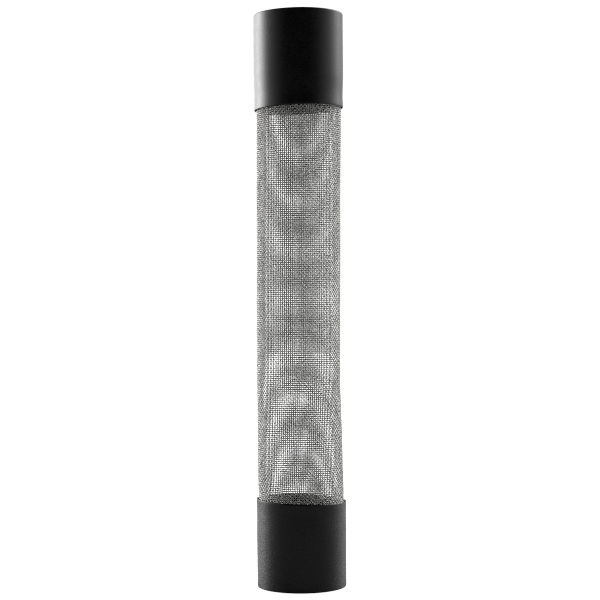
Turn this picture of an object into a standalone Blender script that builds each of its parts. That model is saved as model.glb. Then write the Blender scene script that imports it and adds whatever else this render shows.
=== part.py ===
"""Rolled wire-cloth tube with a push-on cap at each end.

Three pieces, in metres, +Z up. The bottom cap stands on the origin, the tube stands in it, and the
top cap closes the tube. The tube lifts out of the bottom cap and the top cap lifts off the tube,
both along Z, so every piece has its origin on that axis.
"""

import math

import bmesh
import bpy

# Whole object
OVERALL_LENGTH = 0.343
FIT_GAP = 0.0003  # free space between two pieces that touch

# Wire cloth: a plain-weave sheet, two wires thick, rolled into a tube with a lapped seam
CLOTH_OUTER_RADIUS = 0.0255
WIRE_DIAMETER = 0.00051
CLOTH_THICKNESS = 2 * WIRE_DIAMETER
SEAM_AT = math.radians(160)  # where the sheet's outer edge lies, from +X towards +Y
SEAM_LAP = math.radians(18)  # how far the inner edge runs on under the outer one
SEAM_STEP = math.radians(10)  # the bend that takes the sheet in under itself
SEAM_CLEARANCE = 0.0001
CLOTH_SECTIONS = 96  # sections around one whole turn

# Caps: thin moulded cups, closed at one end
CAP_BORE_RADIUS = CLOTH_OUTER_RADIUS + FIT_GAP
CAP_MOUTH_RADIUS = 0.0266
CAP_END_WALL = 0.0013
CAP_EDGE_ROUND = 0.0009  # outside, round the closed end
CAP_INNER_ROUND = FIT_GAP  # inside, where the wall meets the end
CAP_SECTIONS = 72

TOP_CAP_LENGTH = 0.0571
TOP_CAP_END_RADIUS = 0.0269
TOP_MOUTH_SLOPE = math.radians(1.8)  # the mouth hangs lower at -X

BOTTOM_CAP_LENGTH = 0.0519
BOTTOM_CAP_END_RADIUS = 0.0268
BOTTOM_MOUTH_SLOPE = math.radians(2.1)  # the mouth is lower at +X

CLOTH_BOTTOM = CAP_END_WALL + FIT_GAP
CLOTH_LENGTH = OVERALL_LENGTH - 2 * CLOTH_BOTTOM


def principled(name, colour, roughness, metallic):
    """A material with one Principled BSDF."""
    material = bpy.data.materials.new(name)
    material.use_nodes = True
    shader = material.node_tree.nodes["Principled BSDF"]
    shader.inputs["Base Color"].default_value = (*colour, 1.0)
    shader.inputs["Roughness"].default_value = roughness
    shader.inputs["Metallic"].default_value = metallic
    return material


def add_object(name, bm, material, location, rotation=(0.0, 0.0, 0.0)):
    """A smooth-shaded object from a bmesh, with its origin at the bmesh's own origin."""
    bmesh.ops.recalc_face_normals(bm, faces=bm.faces)
    mesh = bpy.data.meshes.new(name)
    bm.to_mesh(mesh)
    bm.free()
    mesh.shade_smooth()
    mesh.set_sharp_from_angle(angle=math.radians(35))
    mesh.materials.append(material)
    piece = bpy.data.objects.new(name, mesh)
    piece.location = location
    piece.rotation_euler = rotation
    bpy.context.scene.collection.objects.link(piece)
    return piece


def arc(centre, radius, start, end, steps):
    """Points (r, z) along an arc, between two angles in degrees."""
    points = []
    for i in range(steps + 1):
        angle = math.radians(start + (end - start) * i / steps)
        points.append((centre[0] + radius * math.cos(angle), centre[1] + radius * math.sin(angle)))
    return points


def cap_profile(length, end_radius):
    """Half section (r, z) of a cap that stands on its closed end and opens upwards."""
    lip = (CAP_MOUTH_RADIUS - CAP_BORE_RADIUS) / 2
    outer_edge = arc((end_radius - CAP_EDGE_ROUND, CAP_EDGE_ROUND), CAP_EDGE_ROUND, -90, 0, 4)
    mouth = arc((CAP_BORE_RADIUS + lip, length - lip), lip, 0, 180, 6)
    inner_edge = arc(
        (CAP_BORE_RADIUS - CAP_INNER_ROUND, CAP_END_WALL + CAP_INNER_ROUND), CAP_INNER_ROUND, 0, -90, 2
    )
    return [(0.0, 0.0), *outer_edge, *mouth, *inner_edge, (0.0, CAP_END_WALL)]


def turned(profile, sections):
    """A closed solid turned round Z from a half section that starts and ends on the axis."""
    bm = bmesh.new()
    points = [bm.verts.new((r, 0.0, z)) for r, z in profile]
    for a, b in zip(points, points[1:]):
        bm.edges.new((a, b))
    bmesh.ops.spin(
        bm,
        geom=bm.verts[:] + bm.edges[:],
        cent=(0.0, 0.0, 0.0),
        axis=(0.0, 0.0, 1.0),
        angle=math.tau,
        steps=sections,
        use_merge=True,
    )
    bmesh.ops.remove_doubles(bm, verts=bm.verts, dist=1e-6)
    return bm


def add_cap(name, length, end_radius, mouth_slope, material, location, rotation=(0.0, 0.0, 0.0)):
    """A cap, with the rim of its mouth set at a slope that falls towards +X."""
    bm = turned(cap_profile(length, end_radius), CAP_SECTIONS)
    rim_starts = length - (CAP_MOUTH_RADIUS - CAP_BORE_RADIUS)
    for vertex in bm.verts:
        if vertex.co.z > rim_starts:
            vertex.co.z -= vertex.co.x * math.tan(mouth_slope)
    return add_object(name, bm, material, location, rotation)


def sheet_radius(turned_by):
    """Outer radius of the rolled sheet at an angle along it, from its outer edge."""
    inwards = min(max((turned_by - (math.tau - SEAM_STEP)) / SEAM_STEP, 0.0), 1.0)
    eased = inwards * inwards * (3 - 2 * inwards)
    return CLOTH_OUTER_RADIUS - eased * (CLOTH_THICKNESS + SEAM_CLEARANCE)


def add_cloth_tube(name, material):
    """The rolled sheet: a strip that goes once round and on under its own edge, drawn up along Z."""
    bm = bmesh.new()
    whole = math.tau + SEAM_LAP
    sections = round(CLOTH_SECTIONS * whole / math.tau)
    strip = []
    for i in range(sections + 1):
        along = whole * i / sections
        outer = sheet_radius(along)
        direction = (math.cos(SEAM_AT + along), math.sin(SEAM_AT + along))
        strip.append([
            bm.verts.new((r * direction[0], r * direction[1], 0.0))
            for r in (outer, outer - CLOTH_THICKNESS)
        ])
    for (outer_a, inner_a), (outer_b, inner_b) in zip(strip, strip[1:]):
        bm.faces.new((outer_a, outer_b, inner_b, inner_a))
    drawn = bmesh.ops.extrude_face_region(bm, geom=bm.faces[:])
    top = [part for part in drawn["geom"] if isinstance(part, bmesh.types.BMVert)]
    bmesh.ops.translate(bm, verts=top, vec=(0.0, 0.0, CLOTH_LENGTH))
    return add_object(name, bm, material, location=(0.0, 0.0, CLOTH_BOTTOM))


def clear_objects():
    for old in list(bpy.data.objects):
        bpy.data.objects.remove(old, do_unlink=True)


def build():
    clear_objects()
    black_vinyl = principled("black_vinyl", (0.012, 0.012, 0.012), roughness=0.42, metallic=0.0)
    steel_cloth = principled("steel_cloth", (0.55, 0.55, 0.54), roughness=0.35, metallic=1.0)
    add_cap(
        "bottom_cap",
        BOTTOM_CAP_LENGTH,
        BOTTOM_CAP_END_RADIUS,
        BOTTOM_MOUTH_SLOPE,
        black_vinyl,
        location=(0.0, 0.0, 0.0),
    )
    add_cloth_tube("wire_cloth_tube", steel_cloth)
    # Turned over about X, so that its closed end is up and a slope towards +X lifts that side
    add_cap(
        "top_cap",
        TOP_CAP_LENGTH,
        TOP_CAP_END_RADIUS,
        TOP_MOUTH_SLOPE,
        black_vinyl,
        location=(0.0, 0.0, OVERALL_LENGTH),
        rotation=(math.pi, 0.0, 0.0),
    )


build()
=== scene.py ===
"""Looks of the capped wire mesh tube: the cloth's wires, two vinyl caps, studio and camera."""

import math

import bpy
import numpy as np
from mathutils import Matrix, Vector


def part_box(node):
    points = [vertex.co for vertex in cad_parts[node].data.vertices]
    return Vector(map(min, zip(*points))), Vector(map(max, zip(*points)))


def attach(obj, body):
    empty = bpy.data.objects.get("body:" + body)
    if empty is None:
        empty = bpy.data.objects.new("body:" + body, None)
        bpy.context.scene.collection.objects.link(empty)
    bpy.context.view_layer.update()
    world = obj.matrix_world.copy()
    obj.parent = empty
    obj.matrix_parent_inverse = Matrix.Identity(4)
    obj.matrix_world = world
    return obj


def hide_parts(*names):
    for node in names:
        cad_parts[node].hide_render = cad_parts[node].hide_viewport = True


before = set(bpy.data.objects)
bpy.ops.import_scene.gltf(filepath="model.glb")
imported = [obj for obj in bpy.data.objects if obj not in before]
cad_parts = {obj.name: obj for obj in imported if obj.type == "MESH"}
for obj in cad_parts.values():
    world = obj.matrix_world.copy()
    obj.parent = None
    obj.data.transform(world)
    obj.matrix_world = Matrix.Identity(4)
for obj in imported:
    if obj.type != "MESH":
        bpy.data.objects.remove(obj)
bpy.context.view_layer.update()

# ---------------------------------------------------------------- sizes, in metres

CLOTH_LOW, CLOTH_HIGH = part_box("wire_cloth_tube")
CLOTH_OUTER_RADIUS = CLOTH_HIGH.x
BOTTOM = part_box("bottom_cap")[0].z
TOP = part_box("top_cap")[1].z
MM = 0.001

WIRE_DIAMETER = 0.00051
WIRE_SIDES = 6  # wires() closes a cut end with two quads, which takes six sides
POINTS_PER_PITCH = 3  # along a wire, from one crossing to the next
CROSSING_OFFSET = 0.52 * WIRE_DIAMETER  # of each wire from the middle of the sheet
CUT_END = 0.4  # of a pitch, from a wire's last crossing to where it is cut
HOOP_PITCH = 0.001246  # along the tube
LONG_PITCH = 0.001281  # around the tube
HOOP_STRETCH = 0.0055  # hoops lie this share further apart at the back, and closer in front
LONG_STRETCH = 0.010  # and long wires this share
PITCH_SPREAD = 0.002  # of a pitch, the scatter in where a wire lies
BARE_END = 0.0014  # free of hoops at each end of the tube, for the skew and the cut ends
MOST_TRIANGLES = 190_000  # in one piece of cloth

SEAM_AT = math.radians(160)  # where the sheet's outer edge lies, from +X towards +Y
SEAM_LAP = math.radians(18)  # how far the inner edge runs on under the outer one
SEAM_STEP = math.radians(10)  # the bend that takes the sheet in under itself
SEAM_CLEARANCE = 0.0001

# (height, change) up the tube. It is rolled by hand: a little wide beside the bottom cap, narrow
# above it, and bowed towards -X between the caps. Inside the caps it keeps its CAD radius.
WIDTH_KNOTS = [
    (0.046, 0), (0.062, 0.26 * MM), (0.135, -0.36 * MM), (0.225, -0.24 * MM), (0.289, 0),
]
BOW_KNOTS = [
    (0.048, 0), (0.075, -0.6 * MM), (0.130, -1.2 * MM), (0.225, -0.55 * MM), (0.289, 0),
]

FIT_GAP = 0.0003
BORE_RADIUS = CLOTH_OUTER_RADIUS + FIT_GAP
CAP_END_WALL = 0.0013
CAP_LIP = 0.0008  # thickness of the wall at the mouth
CAP_EDGE_ROUND = 0.0007
CAP_SECTIONS = 288  # around
END_RINGS, EDGE_STEPS, WALL_RINGS, BORE_RINGS = 12, 8, 60, 30  # along a cap's half section
SLOPED_SHARE = 0.4  # of a cap's length, over which a sloping mouth or end eases in

# Outlines are (height, radius) knots, from a cap's closed end to its mouth
TOP_CAP_LENGTH = 0.0571
TOP_OUTLINE = [(0, 0.02690), (0.036, 0.02690), (0.050, 0.02655), (0.0571, 0.02668)]
TOP_MOUTH_SLOPE = math.radians(1.8)
TOP_END_SLOPE = math.radians(0.8)
BOTTOM_CAP_LENGTH = 0.0519
BOTTOM_OUTLINE = [
    (0, 0.02670), (0.012, 0.02677), (0.030, 0.02682), (0.045, 0.02674), (0.0519, 0.02688),
]
BOTTOM_MOUTH_SLOPE = math.radians(2.1)

# ---------------------------------------------------------------- light and camera

FLOOR_WIDTH = 8.0
FLOOR_DROP = 0.0002  # below the bottom cap
FLOOR_ALBEDO = 0.5
FLOOR_GLOW = 0.85
ROOM_LIGHT = 0.003
# Azimuth from the camera's side, positive towards +X; elevation; tightness; strength
SOFT_LIGHTS = [
    (-114, 6, 18, 13.3), (-140, 6, 10, 3.0), (-120, 35, 14, 1.5), (-75, 8, 14, 1.1),
    (180, 6, 14, 2.2),
    (120, 35, 14, 9.4), (125, 6, 14, 1.1), (100, 8, 14, 0.75), (75, 8, 14, 0.7),
]

CAMERA_DISTANCE = 0.9255
CAMERA_SENSOR = 36  # mm
CAMERA_ROLL = math.radians(0.42)
SHOWN_HEIGHT = 0.3606  # fills the picture, at the tube's axis
PIXEL_FILTER = 1.1  # pixels; narrower than Blender's own, so that single wires stay crisp


# ---------------------------------------------------------------- mesh helpers

def smooth_steps(at, knots):
    """A value that eases from one (place, value) knot to the next, for an array of places."""
    places, values = np.array(knots, float).T
    i = np.clip(np.searchsorted(places, at) - 1, 0, len(places) - 2)
    share = np.clip((at - places[i]) / (places[i + 1] - places[i]), 0, 1)
    eased = share * share * (3 - 2 * share)
    return values[i] + (values[i + 1] - values[i]) * eased


def quad_object(name, points, quads, material):
    """A smooth object from arrays of points (n, 3) and quads (m, 4)."""
    mesh = bpy.data.meshes.new(name)
    mesh.vertices.add(len(points))
    mesh.vertices.foreach_set("co", np.ascontiguousarray(points, np.float32).ravel())
    mesh.loops.add(4 * len(quads))
    mesh.loops.foreach_set("vertex_index", np.ascontiguousarray(quads, np.int32).ravel())
    mesh.polygons.add(len(quads))
    mesh.polygons.foreach_set("loop_start", np.arange(0, 4 * len(quads), 4, dtype=np.int32))
    mesh.update(calc_edges=True)
    mesh.validate()
    mesh.shade_smooth()
    mesh.materials.append(material)
    piece = bpy.data.objects.new(name, mesh)
    bpy.context.scene.collection.objects.link(piece)
    return piece


def unit(vectors):
    return vectors / np.linalg.norm(vectors, axis=-1, keepdims=True)


def wires(paths, across):
    """Points and quads of round wires, one for each path (wires, points, 3).

    across is the direction, at each point, that is square to the path and to its crimp.
    """
    count, length, _ = paths.shape
    along = unit(np.gradient(paths, axis=1))
    out = unit(np.cross(along, across))
    turn = np.arange(WIRE_SIDES) * math.tau / WIRE_SIDES
    ring = np.cos(turn)[:, None] * out[:, :, None] + np.sin(turn)[:, None] * across[:, :, None]
    points = paths[:, :, None] + WIRE_DIAMETER / 2 * ring

    ids = np.arange(count * length * WIRE_SIDES).reshape(count, length, WIRE_SIDES)
    after = np.roll(ids, -1, axis=2)
    sides = np.stack([ids[:, :-1], after[:, :-1], after[:, 1:], ids[:, 1:]], axis=-1)
    starts = ids[:, 0][:, [[3, 2, 1, 0], [5, 4, 3, 0]]]
    ends = ids[:, -1][:, [[0, 1, 2, 3], [0, 3, 4, 5]]]
    quads = np.concatenate([sides.reshape(-1, 4), starts.reshape(-1, 4), ends.reshape(-1, 4)])
    return points.reshape(-1, 3), quads


# ---------------------------------------------------------------- nodes

def add_node(tree, kind, **values):
    """A new node in a tree, with its values set."""
    node = tree.nodes.new(kind)
    for key, value in values.items():
        setattr(node, key, value)
    return node


def feed(tree, sockets, values):
    """Gives each socket a number, a vector or another node's output."""
    for socket, value in zip(sockets, values):
        if isinstance(value, (int, float, tuple)):
            socket.default_value = value
        else:
            tree.links.new(value, socket)


def maths(tree, operation, *values):
    """The number that one maths step gives."""
    node = add_node(tree, "ShaderNodeMath", operation=operation)
    feed(tree, node.inputs, values)
    return node.outputs["Value"]


def vector_maths(tree, operation, *values):
    """The vector that one vector maths step gives, or the number where it is a dot product."""
    node = add_node(tree, "ShaderNodeVectorMath", operation=operation)
    feed(tree, node.inputs, values)
    return node.outputs["Value" if operation == "DOT_PRODUCT" else "Vector"]


class Nodes:
    """Short calls for building one material's nodes."""

    def __init__(self, name):
        self.material = bpy.data.materials.new(name)
        self.material.use_nodes = True
        self.tree = self.material.node_tree
        self.shader = self.tree.nodes["Principled BSDF"]
        coordinates = self.add("ShaderNodeTexCoord")
        self.place, self.normal = coordinates.outputs["Object"], coordinates.outputs["Normal"]

    def add(self, kind, **values):
        return add_node(self.tree, kind, **values)

    def link(self, source, target):
        self.tree.links.new(source, target)

    def noise(self, scale, detail=2.0, roughness=0.5, stretch=(1, 1, 1)):
        """Noise in the object's own coordinates; scale is in waves to the metre."""
        mapping = self.add("ShaderNodeMapping")
        mapping.inputs["Scale"].default_value = stretch
        self.link(self.place, mapping.inputs["Vector"])
        texture = self.add("ShaderNodeTexNoise")
        texture.inputs["Scale"].default_value = scale
        texture.inputs["Detail"].default_value = detail
        texture.inputs["Roughness"].default_value = roughness
        self.link(mapping.outputs["Vector"], texture.inputs["Vector"])
        return texture.outputs["Fac"]

    def ramp(self, source, stops):
        """Colours along a value, from (position, colour) stops."""
        node = self.add("ShaderNodeValToRGB")
        elements = node.color_ramp.elements
        while len(elements) < len(stops):
            elements.new(0.5)
        for element, (position, colour) in zip(elements, stops):
            element.position = position
            element.color = (*colour, 1)
        self.link(source, node.inputs["Fac"])
        return node.outputs["Color"]

    def span(self, source, low, high, start=0.3, end=0.7):
        """A value between low and high as source goes from start to end."""
        node = self.add("ShaderNodeMapRange")
        node.inputs["From Min"].default_value = start
        node.inputs["From Max"].default_value = end
        node.inputs["To Min"].default_value = low
        node.inputs["To Max"].default_value = high
        self.link(source, node.inputs["Value"])
        return node.outputs["Result"]

    def mix(self, share, first, second):
        """The first colour where share is 0, and the second where it is 1."""
        node = self.add("ShaderNodeMix", data_type="RGBA")
        colours = [socket for socket in node.inputs if socket.type == "RGBA"]
        feed(self.tree, [node.inputs["Factor"], *colours], [share, first, second])
        return next(socket for socket in node.outputs if socket.type == "RGBA")

    def bump(self, source, distance, strength=1.0, under=None):
        node = self.add("ShaderNodeBump")
        node.inputs["Strength"].default_value = strength
        node.inputs["Distance"].default_value = distance
        self.link(source, node.inputs["Height"])
        if under is not None:
            self.link(under, node.inputs["Normal"])
        return node.outputs["Normal"]


# ---------------------------------------------------------------- materials

def steel_wire():
    """Drawn steel wire, with painted light and shade: lighter where it faces into the tube,
    painted darker where it faces out.
    """
    n = Nodes("steel_wire")
    n.shader.inputs["Metallic"].default_value = 1.0
    tone = n.noise(350, detail=3, stretch=(1, 1, 0.25))
    # Painted light and shade: a lit copy of the steel colour for faces turned into the tube, and a
    # darker shaded copy for faces turned out. The noise tone is the steel's own.
    painted_lit_colour = n.ramp(tone, [(0.30, (0.74, 0.74, 0.74)), (0.72, (0.88, 0.88, 0.87))])
    painted_shade_colour = n.ramp(tone, [(0.30, (0.24, 0.235, 0.23)), (0.72, (0.39, 0.39, 0.385))])
    off_axis = vector_maths(n.tree, "MULTIPLY", n.place, (1, 1, 0))
    outwards = vector_maths(n.tree, "NORMALIZE", off_axis)
    facing_out = vector_maths(n.tree, "DOT_PRODUCT", outwards, n.normal)
    # Painted shade on the faces that turn out of the tube, painted light on those that turn in.
    colour = n.mix(n.span(facing_out, 0, 1, -0.3, 0.3), painted_lit_colour, painted_shade_colour)
    n.link(colour, n.shader.inputs["Base Color"])
    n.link(n.span(n.noise(900), 0.34, 0.50), n.shader.inputs["Roughness"])
    return n.material


def black_vinyl():
    """Moulded black vinyl: satin sides with fine grain and rougher patches, and matt closed ends.
    """
    n = Nodes("black_vinyl")
    n.shader.inputs["Specular IOR Level"].default_value = 0.25
    cloudy = n.noise(60, detail=4)
    colour = n.ramp(cloudy, [(0.3, (0.0025, 0.0025, 0.0026)), (0.75, (0.0050, 0.0050, 0.0050))])
    n.link(colour, n.shader.inputs["Base Color"])
    normal = n.add("ShaderNodeSeparateXYZ")
    n.link(n.normal, normal.inputs["Vector"])
    facing_end = maths(n.tree, "ABSOLUTE", normal.outputs["Z"])
    side = n.span(n.noise(240, detail=4), 0.28, 0.34)
    end = n.span(facing_end, 0.28, 1.0, 0.75, 0.97)
    n.link(maths(n.tree, "MAXIMUM", side, end), n.shader.inputs["Roughness"])
    peel = n.bump(n.noise(420, roughness=0.45), distance=0.00005, strength=0.08)
    fine = n.noise(2200, stretch=(1, 1, 0.4))
    grain = n.bump(fine, distance=0.00001, strength=0.4, under=peel)
    n.link(grain, n.shader.inputs["Normal"])
    return n.material


# ---------------------------------------------------------------- wire cloth

def sheet_radius(along):
    """Middle radius of the rolled sheet, at an angle along it from its outer edge."""
    inwards = np.clip((along - (math.tau - SEAM_STEP)) / SEAM_STEP, 0, 1)
    eased = inwards * inwards * (3 - 2 * inwards)
    return CLOTH_OUTER_RADIUS - WIRE_DIAMETER - eased * (2 * WIRE_DIAMETER + SEAM_CLEARANCE)


def on_cloth(along, height, lift):
    """Places on the rolled sheet, lifted off its middle; all three are arrays of one shape."""
    middle_z = (CLOTH_LOW.z + CLOTH_HIGH.z) / 2
    angle = SEAM_AT + along
    angle = angle - LONG_STRETCH * np.cos(angle)
    z = height + HOOP_STRETCH * np.sin(angle) * (height - middle_z)
    radius = sheet_radius(along) + smooth_steps(z, WIDTH_KNOTS) + lift
    x = radius * np.cos(angle) + smooth_steps(z, BOW_KNOTS)
    return np.stack([x, radius * np.sin(angle), z], axis=-1)


def crimp_steps(crossings):
    """Places along a wire, in crossings, with a short straight end past the first and last."""
    steps = np.arange((crossings - 1) * POINTS_PER_PITCH + 1) / POINTS_PER_PITCH
    return np.concatenate([[-CUT_END], steps, [crossings - 1 + CUT_END]])


def between(values, at):
    """Values at whole crossings, carried on evenly past both ends."""
    first = values[0] - (values[1] - values[0])
    last = values[-1] + (values[-1] - values[-2])
    crossings = np.arange(-1, len(values) + 1)
    return np.interp(at, crossings, np.concatenate([[first], values, [last]]))


def make_cloth(material):
    """Plain weave: long wires over and under hoops, in pieces of a limited size."""
    rng = np.random.default_rng(20)
    whole_turn = math.tau + SEAM_LAP
    long_step = LONG_PITCH / (CLOTH_OUTER_RADIUS - WIRE_DIAMETER)
    long_count = int(whole_turn / long_step)
    hoop_count = int((CLOTH_HIGH.z - CLOTH_LOW.z - 2 * BARE_END) / HOOP_PITCH) + 1
    first_angle = (whole_turn - (long_count - 1) * long_step) / 2
    long_angles = first_angle + np.arange(long_count) * long_step
    long_angles += rng.normal(0, PITCH_SPREAD, long_count) * long_step
    hoop_heights = CLOTH_LOW.z + BARE_END + np.arange(hoop_count) * HOOP_PITCH
    hoop_heights += rng.normal(0, PITCH_SPREAD, hoop_count) * HOOP_PITCH

    # Long wires
    at = crimp_steps(hoop_count)
    parity = (-1.0) ** np.arange(long_count)[:, None]
    lift = parity * CROSSING_OFFSET * np.cos(math.pi * at)[None, :]
    angles = np.broadcast_to(long_angles[:, None], lift.shape)
    heights = np.broadcast_to(between(hoop_heights, at)[None, :], lift.shape)
    around = SEAM_AT + angles
    across = np.stack([-np.sin(around), np.cos(around), np.zeros_like(around)], axis=-1)
    split_wires("long_wires", on_cloth(angles, heights, lift), across, material)

    # Hoops
    at = crimp_steps(long_count)
    parity = (-1.0) ** (np.arange(hoop_count)[:, None] + 1)
    lift = parity * CROSSING_OFFSET * np.cos(math.pi * at)[None, :]
    angles = np.broadcast_to(between(long_angles, at)[None, :], lift.shape)
    heights = np.broadcast_to(hoop_heights[:, None], lift.shape)
    across = np.broadcast_to([0.0, 0.0, 1.0], (*lift.shape, 3))
    split_wires("hoop_wires", on_cloth(angles, heights, lift), across, material)


def split_wires(name, paths, across, material):
    """Makes wires as a few pieces, none of which has too many triangles."""
    each = 2 * WIRE_SIDES * paths.shape[1]
    share = max(1, MOST_TRIANGLES // each)
    count = math.ceil(len(paths) / share)
    parts = zip(np.array_split(paths, count), np.array_split(across, count))
    for i, (some, sideways) in enumerate(parts):
        piece = quad_object(f"{name}_{i + 1:02d}", *wires(some, sideways), material)
        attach(piece, "wire_tube")
        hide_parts("wire_cloth_tube")


# ---------------------------------------------------------------- caps

def arc(centre, radius, start, end, steps):
    """Points (r, z) along an arc, between two angles in degrees."""
    angles = np.radians(np.linspace(start, end, steps + 1))
    return [(centre[0] + radius * math.cos(a), centre[1] + radius * math.sin(a)) for a in angles]


def cap_section(length, outline):
    """Half section (r, z) of a cap standing on its closed end, outside first, then inside."""
    edge, lip = CAP_EDGE_ROUND, CAP_LIP / 2
    end_radius = float(smooth_steps(edge, outline))
    section = [(r, 0.0) for r in np.linspace(0, end_radius - edge, END_RINGS)]
    section += arc((end_radius - edge, edge), edge, -90, 0, EDGE_STEPS)[1:]
    wall = np.linspace(edge, length - lip, WALL_RINGS)[1:]
    section += [(float(smooth_steps(z, outline)), z) for z in wall]
    mouth_radius = section[-1][0]
    section += arc((mouth_radius - lip, length - lip), lip, 0, 180, EDGE_STEPS)[1:]
    bore = np.linspace(length - 2 * lip, CAP_END_WALL + FIT_GAP, BORE_RINGS)
    section += [(BORE_RADIUS, z) for z in bore]
    section += [(r, CAP_END_WALL) for r in np.linspace(BORE_RADIUS - FIT_GAP, 0, END_RINGS)]
    return np.array(section)


def make_cap(name, length, outline, mouth_slope, end_slope, upside_down, material):
    """A turned cap whose mouth and end may slope, and which replaces the plain CAD cap."""
    section = cap_section(length, outline)
    turn = np.arange(CAP_SECTIONS) * math.tau / CAP_SECTIONS
    r, z = section[:, 0][:, None], section[:, 1][:, None]
    x, y = r * np.cos(turn), r * np.sin(turn)
    sloped = length * SLOPED_SHARE
    towards_mouth = np.clip((z - (length - sloped)) / sloped, 0, 1) ** 2
    z = z - x * math.tan(mouth_slope) * towards_mouth
    towards_end = np.clip(1 - z / sloped, 0, 1) ** 2
    z = z + (r.max() - x) * math.tan(end_slope) * towards_end
    if upside_down:
        y, z = -y, TOP - z
    points = np.stack([x, y, z], axis=-1)
    ids = np.arange(points[..., 0].size).reshape(points.shape[:2])
    after = np.roll(ids, -1, axis=1)
    quads = np.stack([ids[:-1], after[:-1], after[1:], ids[1:]], axis=-1).reshape(-1, 4)
    cap = quad_object(name + "_moulding", points.reshape(-1, 3), quads, material)
    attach(cap, name)
    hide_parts(name)


def make_caps(material):
    make_cap(
        "top_cap", TOP_CAP_LENGTH, TOP_OUTLINE, TOP_MOUTH_SLOPE, TOP_END_SLOPE,
        upside_down=True, material=material,
    )
    make_cap(
        "bottom_cap", BOTTOM_CAP_LENGTH, BOTTOM_OUTLINE, BOTTOM_MOUTH_SLOPE, end_slope=0,
        upside_down=False, material=material,
    )


# ---------------------------------------------------------------- studio

def make_floor():
    """Slightly glossy white paper. It shows as white to the camera, but lights the object less."""
    mesh = bpy.data.meshes.new("floor")
    half = FLOOR_WIDTH / 2
    corners = [(-half, -half, 0), (half, -half, 0), (half, half, 0), (-half, half, 0)]
    mesh.from_pydata(corners, [], [(0, 1, 2, 3)])
    floor = bpy.data.objects.new("floor", mesh)
    bpy.context.scene.collection.objects.link(floor)
    material = bpy.data.materials.new("floor")
    material.use_nodes = True
    tree = material.node_tree
    shader = tree.nodes["Principled BSDF"]
    shader.inputs["Base Color"].default_value = (FLOOR_ALBEDO, FLOOR_ALBEDO, FLOOR_ALBEDO, 1)
    shader.inputs["Roughness"].default_value = 0.4
    shader.inputs["Specular IOR Level"].default_value = 0.4
    shader.inputs["Emission Color"].default_value = (1, 1, 1, 1)
    to_camera = add_node(tree, "ShaderNodeLightPath").outputs["Is Camera Ray"]
    glow = maths(tree, "MULTIPLY", to_camera, FLOOR_GLOW)
    tree.links.new(glow, shader.inputs["Emission Strength"])
    mesh.materials.append(material)
    floor.location.z = BOTTOM - FLOOR_DROP


def direction(azimuth, elevation):
    """A unit vector, at an azimuth from the camera's side that is positive towards +X."""
    a, e = math.radians(azimuth), math.radians(elevation)
    return (math.sin(a) * math.cos(e), -math.cos(a) * math.cos(e), math.sin(e))


def make_light():
    """A studio of wide soft lights round a dark front, which the camera itself sees as white."""
    world = bpy.data.worlds.new("studio")
    bpy.context.scene.world = world
    world.use_nodes = True
    tree = world.node_tree
    tree.nodes.clear()

    place = add_node(tree, "ShaderNodeTexCoord").outputs["Generated"]
    total = ROOM_LIGHT
    for azimuth, elevation, tightness, strength in SOFT_LIGHTS:
        facing = vector_maths(tree, "DOT_PRODUCT", place, direction(azimuth, elevation))
        lobe = maths(tree, "POWER", maths(tree, "MAXIMUM", facing, 0.0), tightness)
        total = maths(tree, "ADD", maths(tree, "MULTIPLY", lobe, strength), total)
    light = add_node(tree, "ShaderNodeBackground")
    seen = add_node(tree, "ShaderNodeBackground")
    white = (1, 1, 1, 1)
    feed(tree, [light.inputs["Color"], light.inputs["Strength"], seen.inputs["Color"]],
         [white, total, white])
    to_camera = add_node(tree, "ShaderNodeLightPath").outputs["Is Camera Ray"]
    mix, out = add_node(tree, "ShaderNodeMixShader"), add_node(tree, "ShaderNodeOutputWorld")
    feed(tree, mix.inputs, [to_camera, light.outputs["Background"], seen.outputs["Background"]])
    tree.links.new(mix.outputs["Shader"], out.inputs["Surface"])


def make_camera():
    """Level with the middle of the object, in front of it, turned a little on its own axis."""
    data = bpy.data.cameras.new("camera")
    data.sensor_width = data.sensor_height = CAMERA_SENSOR
    data.angle = 2 * math.atan(SHOWN_HEIGHT / 2 / CAMERA_DISTANCE)
    camera = bpy.data.objects.new("camera", data)
    camera.location = (0, -CAMERA_DISTANCE, (BOTTOM + TOP) / 2)
    camera.rotation_euler = (math.pi / 2, CAMERA_ROLL, 0)
    bpy.context.scene.collection.objects.link(camera)
    bpy.context.scene.camera = camera


make_cloth(steel_wire())
make_caps(black_vinyl())
make_floor()
make_light()
make_camera()
bpy.context.scene.view_settings.view_transform = "Standard"
bpy.context.scene.cycles.use_denoising = False  # it would smear the wires together
bpy.context.scene.cycles.filter_width = PIXEL_FILTER
